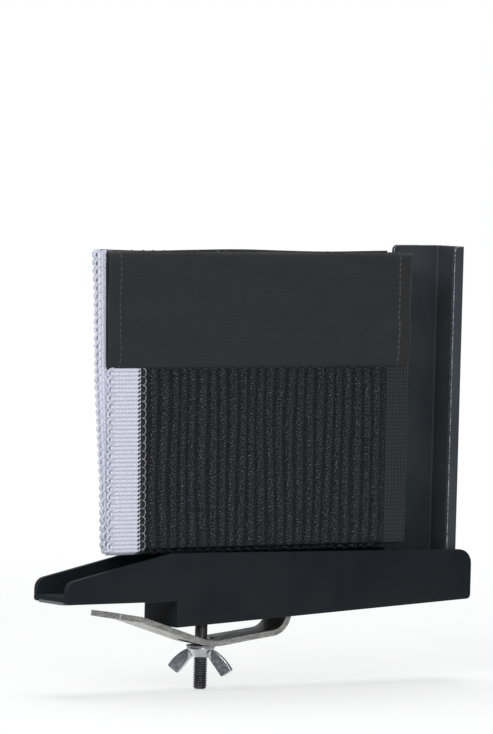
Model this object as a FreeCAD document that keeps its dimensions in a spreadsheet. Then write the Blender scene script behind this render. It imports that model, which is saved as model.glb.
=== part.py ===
import FreeCAD, Part
import math
import os
import re
import Sketcher

# A table tennis net post with its screw clamp, and the folded net standing on it.
# The arm lies over the table's end: X runs outward from the table, Y along the
# table's side line, Z up. The origin is the centre of the pad's underside, so the
# table top is the plane Z = 0. All sizes are in millimetres and degrees.

SIZES = [
    ("pad_length", 56.4, "rubber pad under the arm, along X"),
    ("pad_thick", 1.2, "thickness of the pad"),
    ("pad_gap", 1.0, "from the pad to the table's edge"),
    ("pad_side_gap", 0.2, "from the pad to each side wall"),
    ("pad_proud", 0.3, "how far the pad stands below the side walls"),
    ("pad_corner", 2.0, "corner radius of the pad"),
    ("floor_thick", 2.0, "floor of the arm's channel"),
    ("arm_width", 25.0, "arm from outside to outside"),
    ("wall_thick", 2.5, "side walls of the channel"),
    ("post_reach", 152.5, "table edge to the post's outer face"),
    ("end_margin", 6.0, "arm past the post"),
    ("wall_height", 21.0, "wall's top edge above the table, at the shoulder"),
    ("end_height", 18.8, "wall's top edge above the table, at the outer end"),
    ("shoulder_in", 2.8, "shoulder of the wall, inside the table's edge"),
    ("shoulder_round", 24.0, "soft turn of the wall's edge at the shoulder"),
    ("nose_height", 9.5, "wall's top edge at the nose, before its rounding"),
    ("nose_round", 5.0, "upper corner of the nose"),
    ("nose_foot_round", 1.2, "lower corner of the nose"),
    ("stop_depth", 11.0, "wall that meets the table's edge, below the table top"),
    ("stop_thick", 2.5, "thickness of that wall"),
    ("end_depth", 3.0, "lower edge of the arm's outer end, below the table top"),
    ("end_round", 6.5, "upper corner of the outer end"),
    ("end_foot_round", 2.0, "lower corner of the outer end"),
    ("edge_soft", 0.4, "softened outer edges of the moulding"),
    ("post_height", 152.5, "top of the post above the table"),
    ("post_sheet", 1.5, "steel sheet of the post"),
    ("post_side_gap", 0.2, "from the post to each side wall"),
    ("post_bend", 2.2, "outer radius of the post's two bends"),
    ("post_crease", 0.7, "inner radius of the post's two bends"),
    ("post_corner", 2.5, "rounded top corners of the post's free edges"),
    ("lip_width", 6.0, "front lip of the post"),
    ("blade_width", 26.0, "rear blade of the post"),
    ("foot_length", 33.0, "foot of the post along the floor"),
    ("foot_relief", 1.0, "from the foot's sides to the lip and the blade"),
    ("rivet_size", 4.0, "rivet shank"),
    ("rivet_gap", 0.05, "radial gap round a rivet"),
    ("rivet_head", 7.4, "rivet head"),
    ("rivet_crown", 4.4, "flat on top of a rivet head"),
    ("rivet_rise", 1.4, "height of a rivet head"),
    ("rivet_inset", 11.0, "post's outer face to the first rivet"),
    ("rivet_pitch", 14.0, "between the rivets"),
    ("bolt_offset", 21.5, "table edge to the bolt's axis"),
    ("thread_size", 6.0, "M6 thread of the bolt"),
    ("shank_size", 5.35, "plain shank above the thread"),
    ("neck_size", 6.0, "square neck under the bolt's head"),
    ("neck_gap", 0.1, "from the neck to each side of its square hole"),
    ("head_size", 13.5, "mushroom head of the bolt"),
    ("head_rise", 3.3, "height of the head"),
    ("head_rim", 0.8, "height of the head's rim"),
    ("bolt_depth", 39.0, "end of the bolt below the table top"),
    ("thread_start", 16.5, "top of the thread below the table top"),
    ("bolt_chamfer", 0.8, "chamfer on the end of the thread"),
    ("plate_thick", 2.5, "clamp plate"),
    ("plate_width", 22.0, "clamp plate at its tip"),
    ("hook_width", 16.0, "clamp plate at its hook"),
    ("valley_depth", 20.0, "underside of the plate at the nut, below the table top"),
    ("valley_shift", 2.0, "lowest point of the plate, outward from the bolt"),
    ("valley_round", 30.0, "radius of the plate's middle bend"),
    ("rise_angle", 6.6, "slope of the plate from the nut up to the hook"),
    ("fall_angle", 17.7, "slope of the plate from the nut up to the bend"),
    ("tip_angle", 8.0, "slope of the plate's tip"),
    ("bend_round", 8.0, "radius of the bend behind the tip"),
    ("bend_inset", 17.5, "bend behind the tip, inward from the table's edge"),
    ("tip_inset", 29.0, "plate's tip, inward from the table's edge"),
    ("tip_corner", 0.8, "corner radius of the tip in plan"),
    ("hook_offset", 62.5, "table edge to the middle of the hook"),
    ("hook_round", 9.5, "radius of the hook's curl"),
    ("hook_end_round", 1.2, "rounded end of the hook"),
    ("hook_gap", 0.1, "from the hook to the arm's floor"),
    ("taper_start", 8.0, "where the plate starts to narrow, inward from the edge"),
    ("taper_end", 44.0, "where the plate has narrowed, outward from the edge"),
    ("slot_width", 6.8, "slot for the bolt"),
    ("slot_inward", 12.0, "bolt's axis to the slot's inner end"),
    ("slot_outward", 8.0, "bolt's axis to the slot's outer end"),
    ("slot_ease", 0.02, "radius of the slot's ends over half its width"),
    ("washer_size", 12.6, "washer under the plate"),
    ("washer_bore", 6.4, "hole of the washer"),
    ("washer_thick", 0.8, "thickness of the washer"),
    ("seat_gap", 0.05, "between faces that bear on each other and turn"),
    ("nut_face", 12.0, "bearing face of the wing nut"),
    ("nut_rim", 0.8, "straight rim below that face"),
    ("nut_foot", 7.8, "far end of the nut's boss"),
    ("nut_height", 4.3, "height of the boss"),
    ("thread_gap", 0.05, "radial gap between the nut's bore and the thread"),
    ("wing_thick", 2.0, "thickness of a wing"),
    ("wing_root", 4.3, "radius where a wing grows out of the boss"),
    ("wing_rise", 0.3, "wing's root below the bearing face"),
    ("wing_reach", 15.6, "radius of a wing's upper corner"),
    ("wing_drop", 9.1, "wing's upper corner below the bearing face"),
    ("wing_foot", 11.0, "radius of a wing's lower corner"),
    ("wing_length", 12.1, "wing's lower corner below the bearing face"),
    ("wing_bulge", 22.0, "radius of a wing's curved upper edge"),
    ("wing_corner", 0.5, "corner radius of a wing's end"),
    ("wing_angle", -65.0, "direction of the wings in plan, from X"),
    ("net_length", 1800.0, "length of the net before folding"),
    ("net_layers", 14.0, "layers of the folded net, an even number"),
    ("net_pitch", 1.7, "distance from layer to layer"),
    ("net_sheet", 1.2, "thickness of the knitted mesh"),
    ("tape_sheet", 1.5, "thickness of the folded edge tapes"),
    ("net_start", 35.5, "net's top edge, inward from the table's edge"),
    ("net_height", 157.5, "net from top edge to bottom edge"),
    ("top_tape", 19.0, "width of the white top tape"),
    ("bottom_tape", 11.5, "width of the black bottom tape"),
    ("net_lift", 0.3, "net above the arm's highest edge"),
    ("sleeve_length", 50.0, "fabric sleeve at each end of the net"),
    ("sleeve_sheet", 1.5, "thickness of a flattened sleeve"),
]

doc = FreeCAD.newDocument("net_clamp")
sheet = doc.addObject("Spreadsheet::Sheet", "sizes")
for row, (name, value, meaning) in enumerate(SIZES, start=1):
    sheet.set("A%d" % row, str(value))
    sheet.setAlias("A%d" % row, name)
    sheet.set("B%d" % row, meaning)
doc.recompute()
NAMES = {name for name, value, meaning in SIZES}
nodes = []


def linked(text):
    """Write a formula of size names the way an expression reads the sheet."""
    def cell(match):
        word = match.group()
        return "sizes." + word if word in NAMES else word
    return re.sub(r"[a-z_]+", cell, text)


def number(text):
    """The value of such a formula, in plain millimetres or degrees."""
    return float(sheet.evalExpression(linked(text)))


def bind(thing, prop, text):
    """Tie one property of an object to a formula of sizes."""
    thing.setExpression(prop, linked(text))


def node(thing, label):
    """Name a finished piece and put it on the list of pieces to write."""
    thing.Label = label
    nodes.append(thing)
    return thing


# Places that several pieces share, as formulas of the sizes.
NOSE_X = "(-pad_length / 2)"
EDGE_X = "(pad_length / 2 + pad_gap)"
POST_X = "(pad_length / 2 + pad_gap + post_reach)"
END_X = "(pad_length / 2 + pad_gap + post_reach + end_margin)"
BOLT_X = "(pad_length / 2 + pad_gap + bolt_offset)"
HOOK_X = "(pad_length / 2 + pad_gap + hook_offset)"
FLOOR_TOP = "(pad_thick + floor_thick)"
CHANNEL = "(arm_width - 2 * wall_thick)"
POST_HALF = "(arm_width / 2 - wall_thick - post_side_gap)"


def body(name):
    return doc.addObject("PartDesign::Body", name)


def plane(owner, role):
    """One of a body's own origin planes."""
    found = [item for item in owner.Origin.OriginFeatures if item.Role == role]
    return found[0]


def place(thing, base_x="0", base_z="0"):
    """Stand a piece at its place in X and Z."""
    bind(thing, "Placement.Base.x", base_x)
    bind(thing, "Placement.Base.z", base_z)


def sketch_on(owner, name, role, height=None):
    """An empty sketch on an origin plane, or at a height above it."""
    sketch = owner.newObject("Sketcher::SketchObject", name)
    sketch.AttachmentSupport = [(plane(owner, role), "")]
    sketch.MapMode = "FlatFace"
    if height is not None:
        bind(sketch, "AttachmentOffset.Base.z", height)
    return sketch


def pin_point(sketch, line, end, across, up):
    """Fix a line's end point at two formulas, measured from the sketch's origin."""
    for kind, text, axis in (("DistanceX", across, -2), ("DistanceY", up, -1)):
        value = number(text)
        if abs(value) < 1e-9:
            sketch.addConstraint(Sketcher.Constraint("PointOnObject", line, end, axis))
            continue
        index = sketch.addConstraint(Sketcher.Constraint(kind, -1, 1, line, end, value))
        bind(sketch, "Constraints[%d]" % index, text)


def arc_between(start, finish, radius, side):
    """An arc that bulges to the left (1) or right (-1) of the way, drawn anticlockwise."""
    chord = finish - start
    middle = (start + finish) * 0.5
    left = FreeCAD.Vector(-chord.y, chord.x, 0).normalize()
    rise = math.sqrt(radius ** 2 - (chord.Length / 2) ** 2)
    centre = middle - left * (side * rise)
    bulge = centre + left * (side * radius)
    if side > 0:
        return Part.Arc(finish, bulge, start)
    return Part.Arc(start, bulge, finish)


def loop(sketch, corners, arcs=None):
    """Draw a closed outline through corners given as formulas.

    arcs gives the sides that are round: {side: (radius, 1 left or -1 right)}.
    """
    arcs = arcs or {}
    points = [FreeCAD.Vector(number(across), number(up), 0) for across, up in corners]
    first = sketch.GeometryCount
    ends = []
    for side, start in enumerate(points):
        finish = points[(side + 1) % len(points)]
        if side not in arcs:
            sketch.addGeometry(Part.LineSegment(start, finish))
            ends.append((1, 2))
            continue
        radius, bulge = arcs[side]
        index = sketch.addGeometry(arc_between(start, finish, number(radius), bulge))
        ends.append((2, 1) if bulge > 0 else (1, 2))
        tie = sketch.addConstraint(Sketcher.Constraint("Radius", index, number(radius)))
        bind(sketch, "Constraints[%d]" % tie, radius)
    for side, (across, up) in enumerate(corners):
        here = first + side
        before = first + (side - 1) % len(corners)
        meet = Sketcher.Constraint(
            "Coincident", before, ends[side - 1][1], here, ends[side][0])
        sketch.addConstraint(meet)
        pin_point(sketch, here, ends[side][0], across, up)


def box_corners(low_across, low_up, high_across, high_up):
    return [(low_across, low_up), (high_across, low_up),
            (high_across, high_up), (low_across, high_up)]


def circle(sketch, diameter, across="0", up="0"):
    """A circle in a sketch, by formulas."""
    centre = FreeCAD.Vector(number(across), number(up), 0)
    normal = FreeCAD.Vector(0, 0, 1)
    index = sketch.addGeometry(Part.Circle(centre, normal, number(diameter) / 2))
    tie = sketch.addConstraint(Sketcher.Constraint("Diameter", index, number(diameter)))
    bind(sketch, "Constraints[%d]" % tie, diameter)
    if across == "0" and up == "0":
        sketch.addConstraint(Sketcher.Constraint("Coincident", index, 3, -1, 1))
    else:
        pin_point(sketch, index, 3, across, up)


def grow(owner, kind, name, sketch, length=None, both_ways=False, backward=False):
    """A Pad or a Pocket of a sketch: a length by formula, or through everything."""
    feature = owner.newObject("PartDesign::" + kind, name)
    feature.Profile = sketch
    if length is None:
        feature.Type = "ThroughAll"
    else:
        bind(feature, "Length", length)
    if both_ways:
        feature.SideType = "Symmetric"
    feature.Reversed = backward
    sketch.Visibility = False
    doc.recompute()
    return feature


def turn(owner, name, sketch):
    """A full Revolution of a sketch about its upright axis."""
    feature = owner.newObject("PartDesign::Revolution", name)
    feature.Profile = sketch
    feature.ReferenceAxis = (sketch, ["V_Axis"])
    feature.Angle = 360
    sketch.Visibility = False
    doc.recompute()
    return feature


def edges_where(shape, wanted):
    return ["Edge%d" % (index + 1) for index, edge in enumerate(shape.Edges) if wanted(edge)]


def round_edges(owner, name, wanted, radius):
    """Fillet the edges of the body's last feature that a test picks out."""
    last = owner.Tip
    fillet = owner.newObject("PartDesign::Fillet", name)
    fillet.Base = (last, edges_where(last.Shape, wanted))
    bind(fillet, "Radius", radius)
    doc.recompute()
    return fillet


def near(value, text):
    return abs(value - number(text)) < 1e-4


def runs_along(edge, axis):
    """True for a straight edge along X (0), Y (1) or Z (2)."""
    if len(edge.Vertexes) != 2:
        return False
    span = edge.Vertexes[1].Point - edge.Vertexes[0].Point
    straight = abs(edge.Length - span.Length) < 1e-6
    return straight and abs(abs(span[axis]) - span.Length) < 1e-6


def across_at(across, up):
    """Picks the edge along Y at one corner of a side outline."""
    def wanted(edge):
        middle = edge.CenterOfMass
        return runs_along(edge, 1) and near(middle.x, across) and near(middle.z, up)
    return wanted


def upright_at(across, along):
    """Picks the edge along Z at one corner of a plan."""
    def wanted(edge):
        middle = edge.CenterOfMass
        return runs_along(edge, 2) and near(middle.x, across) and near(abs(middle.y), along)
    return wanted


def make_arm():
    """The moulded channel: floor, two side walls, stop wall and end wall."""
    arm = body("arm_body")
    shoulder_x = EDGE_X + " - shoulder_in"
    side = sketch_on(arm, "side_outline", "XZ_Plane")
    loop(side, [
        (NOSE_X, "pad_proud"),
        (EDGE_X, "pad_proud"),
        (EDGE_X, "-stop_depth"),
        (END_X, "-end_depth"),
        (END_X, "end_height"),
        (shoulder_x, "wall_height"),
        (NOSE_X, "nose_height"),
    ])
    grow(arm, "Pad", "side_block", side, "arm_width", both_ways=True)
    round_edges(arm, "nose_corner", across_at(NOSE_X, "nose_height"), "nose_round")
    round_edges(arm, "nose_foot", across_at(NOSE_X, "pad_proud"), "nose_foot_round")
    round_edges(arm, "shoulder", across_at(shoulder_x, "wall_height"), "shoulder_round")
    round_edges(arm, "end_corner", across_at(END_X, "end_height"), "end_round")
    round_edges(arm, "end_foot", across_at(END_X, "-end_depth"), "end_foot_round")

    def outer_edge(edge):
        return all(near(abs(vertex.Y), "arm_width / 2") for vertex in edge.Vertexes) \
            and not runs_along(edge, 1)
    round_edges(arm, "soft_edges", outer_edge, "edge_soft")

    trough = sketch_on(arm, "trough_outline", "XZ_Plane")
    loop(trough, box_corners(
        NOSE_X + " - wall_thick", FLOOR_TOP, END_X + " - wall_thick", "wall_height + nose_height"))
    grow(arm, "Pocket", "trough", trough, CHANNEL, both_ways=True)
    recess = sketch_on(arm, "pad_recess_outline", "XZ_Plane")
    loop(recess, box_corners(NOSE_X + " - wall_thick", "-pad_thick", EDGE_X, "pad_thick"))
    grow(arm, "Pocket", "pad_recess", recess, CHANNEL, both_ways=True)
    hollow = sketch_on(arm, "hook_hollow_outline", "XZ_Plane")
    loop(hollow, box_corners(
        EDGE_X + " + stop_thick", "-2 * stop_depth", END_X + " - wall_thick", "pad_thick"))
    grow(arm, "Pocket", "hook_hollow", hollow, CHANNEL, both_ways=True)

    neck = sketch_on(arm, "neck_hole_outline", "XY_Plane")
    half = "(neck_size / 2 + neck_gap)"
    loop(neck, box_corners(
        BOLT_X + " - " + half, "-" + half, BOLT_X + " + " + half, half))
    grow(arm, "Pocket", "neck_hole", neck, both_ways=True)
    holes = sketch_on(arm, "rivet_hole_outline", "XY_Plane")
    for place_x in rivet_places():
        circle(holes, "rivet_size + 2 * rivet_gap", place_x)
    grow(arm, "Pocket", "rivet_holes", holes, both_ways=True)
    return node(arm, "arm")


def rivet_places():
    first = POST_X + " - rivet_inset"
    return [first, first + " - rivet_pitch"]


def make_pad():
    """The rubber pad that lies on the table, glued under the arm's floor."""
    pad = body("pad_body")
    plan = sketch_on(pad, "pad_outline", "XY_Plane")
    half = "(arm_width / 2 - wall_thick - pad_side_gap)"
    loop(plan, box_corners(NOSE_X, "-" + half, "pad_length / 2", half))
    grow(pad, "Pad", "pad_block", plan, "pad_thick")
    round_edges(pad, "pad_corners", lambda edge: runs_along(edge, 2), "pad_corner")
    return node(pad, "table_pad")


def make_post():
    """The bent sheet steel post: front lip, web, rear blade and riveted foot."""
    post = body("post_body")
    inner = "(%s - post_sheet)" % POST_HALF
    web = "(%s - post_sheet)" % POST_X
    section = sketch_on(post, "post_section", "XY_Plane", FLOOR_TOP)
    loop(section, [
        (POST_X, "-" + POST_HALF),
        (POST_X, POST_HALF),
        (POST_X + " - blade_width", POST_HALF),
        (POST_X + " - blade_width", inner),
        (web, inner),
        (web, "-" + inner),
        (POST_X + " - lip_width", "-" + inner),
        (POST_X + " - lip_width", "-" + POST_HALF),
    ])
    grow(post, "Pad", "post_length", section, "post_height - %s" % FLOOR_TOP)
    foot = sketch_on(post, "foot_outline", "XY_Plane", FLOOR_TOP)
    foot_half = "(%s - foot_relief)" % inner
    loop(foot, box_corners(
        POST_X + " - foot_length", "-" + foot_half, POST_X + " - post_sheet / 2", foot_half))
    grow(post, "Pad", "foot", foot, "post_sheet")
    round_edges(post, "outer_bends", upright_at(POST_X, POST_HALF), "post_bend")
    round_edges(post, "inner_bends", upright_at(web, inner), "post_crease")
    round_edges(post, "blade_corner", across_at(POST_X + " - blade_width", "post_height"),
                "post_corner")
    round_edges(post, "lip_corner", across_at(POST_X + " - lip_width", "post_height"),
                "post_corner")
    round_edges(post, "foot_corners", upright_at(POST_X + " - foot_length", foot_half),
                "post_corner")
    holes = sketch_on(post, "foot_holes", "XY_Plane")
    for place_x in rivet_places():
        circle(holes, "rivet_size + 2 * rivet_gap", place_x)
    grow(post, "Pocket", "foot_rivet_holes", holes, FLOOR_TOP + " + 2 * post_sheet",
         backward=True)
    return node(post, "post")


def make_rivets():
    """Two rivets through the post's foot and the arm's floor."""
    rivets = []
    for count, place_x in enumerate(rivet_places(), start=1):
        shank = doc.addObject("Part::Cylinder", "rivet_shank_%d" % count)
        bind(shank, "Radius", "rivet_size / 2")
        bind(shank, "Height", "floor_thick + post_sheet")
        place(shank, place_x, "pad_thick")
        head = doc.addObject("Part::Cone", "rivet_head_%d" % count)
        bind(head, "Radius1", "rivet_head / 2")
        bind(head, "Radius2", "rivet_crown / 2")
        bind(head, "Height", "rivet_rise")
        place(head, place_x, FLOOR_TOP + " + post_sheet")
        tail = doc.addObject("Part::Cone", "rivet_tail_%d" % count)
        bind(tail, "Radius1", "rivet_crown / 2")
        bind(tail, "Radius2", "rivet_head / 2")
        bind(tail, "Height", "rivet_rise")
        place(tail, place_x, "pad_thick - rivet_rise")
        rivet = doc.addObject("Part::MultiFuse", "rivet_%d" % count)
        rivet.Shapes = [shank, head, tail]
        rivets.append(rivet)
    pair = doc.addObject("Part::Compound", "rivet_pair")
    pair.Links = rivets
    doc.recompute()
    return node(pair, "post_rivets")


def make_bolt():
    """The mushroom-head bolt: its square neck sits in the arm's floor."""
    bolt = body("bolt_body")
    outline = sketch_on(bolt, "bolt_outline", "XZ_Plane")
    head_top = FLOOR_TOP + " + head_rise"
    crown = "(head_rise - head_rim)"
    crown_radius = "(((head_size / 2) ^ 2 + %s ^ 2) / (2 * %s))" % (crown, crown)
    loop(outline, [
        ("0", "-bolt_depth"),
        ("thread_size / 2 - bolt_chamfer", "-bolt_depth"),
        ("thread_size / 2", "-bolt_depth + bolt_chamfer"),
        ("thread_size / 2", "-thread_start"),
        ("shank_size / 2", "-thread_start + (thread_size - shank_size) / 2"),
        ("shank_size / 2", FLOOR_TOP),
        ("head_size / 2", FLOOR_TOP),
        ("head_size / 2", FLOOR_TOP + " + head_rim"),
        ("0", head_top),
    ], arcs={7: (crown_radius, -1)})
    turn(bolt, "bolt_turned", outline)
    neck = sketch_on(bolt, "neck_outline", "XY_Plane", FLOOR_TOP)
    loop(neck, box_corners("-neck_size / 2", "-neck_size / 2", "neck_size / 2", "neck_size / 2"))
    grow(bolt, "Pad", "square_neck", neck, "floor_thick", backward=True)
    place(bolt, BOLT_X)
    doc.recompute()
    return node(bolt, "clamp_bolt")


# The clamp plate's middle line, as formulas: a tip, a small bend, a straight fall, the
# wide middle bend over the nut, a straight rise and the hook that curls up to the arm.
VALLEY_X = "(%s + valley_shift)" % BOLT_X
VALLEY_Z = "(plate_thick / 2 - valley_depth + valley_round)"
RISE_X = "(%s + valley_round * sin(rise_angle))" % VALLEY_X
RISE_Z = "(%s - valley_round * cos(rise_angle))" % VALLEY_Z
FALL_X = "(%s - valley_round * sin(fall_angle))" % VALLEY_X
FALL_Z = "(%s - valley_round * cos(fall_angle))" % VALLEY_Z
BEND_X = "(%s - bend_inset)" % EDGE_X
BEND_Z = "(%s + (%s - %s) * tan(fall_angle))" % (FALL_Z, FALL_X, BEND_X)
BEND_RUN = "(bend_round * tan((fall_angle - tip_angle) / 2))"
BEND_CENTRE_X = "(%s + %s * cos(fall_angle) - bend_round * sin(fall_angle))" % (BEND_X, BEND_RUN)
BEND_CENTRE_Z = "(%s - %s * sin(fall_angle) - bend_round * cos(fall_angle))" % (BEND_Z, BEND_RUN)
TIP_X = "(%s - tip_inset)" % EDGE_X
TIP_Z = "(%s + (%s - %s) * tan(tip_angle))" % (BEND_Z, BEND_X, TIP_X)
CURL_X = "(%s - hook_round)" % HOOK_X
CURL_START_Z = "(%s + (%s + hook_round * sin(rise_angle) - %s) * tan(rise_angle))" % (
    RISE_Z, CURL_X, RISE_X)
CURL_Z = "(%s + hook_round * cos(rise_angle))" % CURL_START_Z
HOOK_TOP = "(pad_thick - hook_gap)"


def plate_side(side):
    """One side of the plate's edge outline, tip first: side is 1 above and -1 below."""
    half = "(%d * plate_thick / 2)" % side
    inner_valley = "(valley_round - %s)" % half
    inner_curl = "(hook_round - %s)" % half
    outer_bend = "(bend_round + %s)" % half
    corners = [
        (TIP_X + " + %s * sin(tip_angle)" % half, TIP_Z + " + %s * cos(tip_angle)" % half),
        (BEND_CENTRE_X + " + %s * sin(tip_angle)" % outer_bend,
         BEND_CENTRE_Z + " + %s * cos(tip_angle)" % outer_bend),
        (BEND_CENTRE_X + " + %s * sin(fall_angle)" % outer_bend,
         BEND_CENTRE_Z + " + %s * cos(fall_angle)" % outer_bend),
        (VALLEY_X + " - %s * sin(fall_angle)" % inner_valley,
         VALLEY_Z + " - %s * cos(fall_angle)" % inner_valley),
        (VALLEY_X + " + %s * sin(rise_angle)" % inner_valley,
         VALLEY_Z + " - %s * cos(rise_angle)" % inner_valley),
        (CURL_X + " + %s * sin(rise_angle)" % inner_curl,
         CURL_Z + " - %s * cos(rise_angle)" % inner_curl),
        (CURL_X + " + %s" % inner_curl, CURL_Z),
        (CURL_X + " + %s" % inner_curl, HOOK_TOP),
    ]
    radii = {1: outer_bend, 3: inner_valley, 5: inner_curl}
    return corners, radii


def make_plate():
    """The zinc-plated clamp plate, bent from one strip and slotted for the bolt."""
    plate = body("plate_body")
    below, below_radii = plate_side(-1)
    above, above_radii = plate_side(1)
    last = len(below) + len(above) - 2
    arcs = {1: (below_radii[1], 1), 3: (below_radii[3], -1), 5: (below_radii[5], -1)}
    arcs.update({last - 1: (above_radii[1], -1), last - 3: (above_radii[3], 1),
                 last - 5: (above_radii[5], 1)})
    strip = sketch_on(plate, "strip_outline", "XZ_Plane")
    loop(strip, below + above[::-1], arcs)
    grow(plate, "Pad", "strip", strip, "plate_width", both_ways=True)
    sides = sketch_on(plate, "taper_outline", "XY_Plane")
    start_x = EDGE_X + " - taper_start"
    end_x = EDGE_X + " + taper_end"
    past_x = HOOK_X + " + hook_round"
    for sign in ("", "-"):
        loop(sides, [
            (start_x, sign + "plate_width / 2"),
            (end_x, sign + "hook_width / 2"),
            (past_x, sign + "hook_width / 2"),
            (past_x, sign + "plate_width"),
            (start_x, sign + "plate_width"),
        ])
    grow(plate, "Pocket", "taper", sides, both_ways=True)
    slot = sketch_on(plate, "slot_outline", "XY_Plane")
    slot_from = BOLT_X + " - slot_inward + slot_width / 2"
    slot_to = BOLT_X + " + slot_outward - slot_width / 2"
    slot_end = "(slot_width / 2 + slot_ease)"
    loop(slot, box_corners(slot_from, "-slot_width / 2", slot_to, "slot_width / 2"),
         arcs={1: (slot_end, -1), 3: (slot_end, -1)})
    grow(plate, "Pocket", "slot", slot, both_ways=True)
    round_edges(plate, "hook_end_inner",
                across_at(HOOK_X + " - plate_thick / 2", HOOK_TOP), "hook_end_round")
    round_edges(plate, "hook_end_outer",
                across_at(HOOK_X + " + plate_thick / 2", HOOK_TOP), "hook_end_round")

    def tip_corner(edge):
        middle = edge.CenterOfMass
        at_tip = abs(middle.x - number(TIP_X)) < number("plate_thick / 2")
        return at_tip and near(abs(middle.y), "plate_width / 2") and edge.Length < \
            number("plate_thick") + 1e-3 and not runs_along(edge, 0)
    round_edges(plate, "tip_corners", tip_corner, "tip_corner")
    return node(plate, "clamp_plate")


WASHER_TOP = "(-valley_depth - seat_gap)"
NUT_TOP = "(-valley_depth - seat_gap - washer_thick - seat_gap)"


def make_washer():
    """The flat washer between the wing nut and the plate."""
    disc = doc.addObject("Part::Cylinder", "washer_disc")
    bind(disc, "Radius", "washer_size / 2")
    bind(disc, "Height", "washer_thick")
    hole = doc.addObject("Part::Cylinder", "washer_hole")
    bind(hole, "Radius", "washer_bore / 2")
    bind(hole, "Height", "washer_thick")
    for piece in (disc, hole):
        place(piece, BOLT_X, WASHER_TOP + " - washer_thick")
    washer = doc.addObject("Part::Cut", "washer_cut")
    washer.Base = disc
    washer.Tool = hole
    doc.recompute()
    return node(washer, "nut_washer")


def make_wing_nut():
    """The wing nut: a tapered boss and two wings that slope away from its face."""
    nut = body("nut_body")
    boss = sketch_on(nut, "boss_outline", "XZ_Plane")
    loop(boss, [
        ("0", "-nut_height"),
        ("nut_foot / 2", "-nut_height"),
        ("nut_face / 2", "-nut_rim"),
        ("nut_face / 2", "0"),
        ("0", "0"),
    ])
    turn(nut, "boss", boss)
    wing = sketch_on(nut, "wing_outline", "XZ_Plane")
    loop(wing, [
        ("wing_root", "-nut_height"),
        ("wing_foot", "-wing_length"),
        ("wing_reach", "-wing_drop"),
        ("wing_root", "-wing_rise"),
    ], arcs={2: ("wing_bulge", -1)})
    first = grow(nut, "Pad", "wing", wing, "wing_thick", both_ways=True)
    pair = nut.newObject("PartDesign::Mirrored", "wing_pair")
    pair.Originals = [first]
    pair.MirrorPlane = (plane(nut, "YZ_Plane"), [""])
    nut.Tip = pair
    doc.recompute()

    def wing_end(edge):
        middle = edge.CenterOfMass
        at_end = near(abs(middle.x), "wing_reach") or near(abs(middle.x), "wing_foot")
        return runs_along(edge, 1) and at_end
    round_edges(nut, "wing_ends", wing_end, "wing_corner")
    bore = sketch_on(nut, "bore_outline", "XY_Plane")
    circle(bore, "thread_size + 2 * thread_gap")
    grow(nut, "Pocket", "bore", bore, both_ways=True)
    nut.Placement = FreeCAD.Placement(
        FreeCAD.Vector(0, 0, 0), FreeCAD.Rotation(FreeCAD.Vector(0, 0, 1), number("wing_angle")))
    place(nut, BOLT_X, NUT_TOP)
    doc.recompute()
    return node(nut, "wing_nut")


def fold_bottom():
    """Height of the sheet's middle at the lower folds, which stand on the arm."""
    return number("wall_height + net_lift + tape_sheet / 2")


def fold_height():
    """How tall one layer stands when the whole net is folded into its layers."""
    layers = int(number("net_layers"))
    pitch = number("net_pitch")
    turns = (layers - 1) * math.pi * pitch / 2
    return (number("net_length") - turns) / layers + pitch


def folded_sheet(thick, top_cut):
    """The edge outline of the folded net, as a face in the YZ plane.

    The sheet starts at the top of the front layer, runs down, turns at the bottom and
    so on, and ends at the top of the rear layer. top_cut shortens both of its ends.
    """
    layers = int(number("net_layers"))
    pitch = number("net_pitch")
    bottom = fold_bottom()
    top = bottom + fold_height()
    half = thick / 2
    left = []
    right = []
    for layer in range(layers):
        middle = (layer - (layers - 1) / 2) * pitch
        down = layer % 2 == 0
        high = top - pitch / 2
        low = bottom + pitch / 2
        if layer == 0 or layer == layers - 1:
            high = top - top_cut
        start, finish = (high, low) if down else (low, high)
        outer, inner = (middle - half, middle + half)
        left.append(Part.makeLine((0, outer, start), (0, outer, finish)))
        right.append(Part.makeLine((0, inner, start), (0, inner, finish)))
        if layer == layers - 1:
            break
        turn_y = middle + pitch / 2
        way = -1 if down else 1
        wide = pitch / 2 + half
        tight = pitch / 2 - half
        left.append(fold_turn(turn_y, finish, wide, way))
        right.append(fold_turn(turn_y, finish, tight, way))
    ends = []
    for index in (0, -1):
        outer_end = left[index].Vertexes[-1 if index else 0].Point
        inner_end = right[index].Vertexes[-1 if index else 0].Point
        ends.append(Part.makeLine(outer_end, inner_end))
    wire = Part.Wire(Part.__sortEdges__(left + right + ends))
    return Part.Face(wire)


def fold_turn(centre_y, centre_z, radius, way):
    """Half a turn between two layers, below (-1) or above (1) their ends."""
    return Part.Arc(
        FreeCAD.Vector(0, centre_y - radius, centre_z),
        FreeCAD.Vector(0, centre_y, centre_z + way * radius),
        FreeCAD.Vector(0, centre_y + radius, centre_z)).toShape()


def make_net_band(label, thick, start_x, width):
    """One band of the folded net: its mesh or one of its edge tapes."""
    face = folded_sheet(number(thick), number("sleeve_length"))
    band = doc.addObject("Part::Feature", label + "_band")
    band.Shape = face.extrude(FreeCAD.Vector(number(width), 0, 0))
    place(band, start_x)
    doc.recompute()
    return node(band, label)


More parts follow.
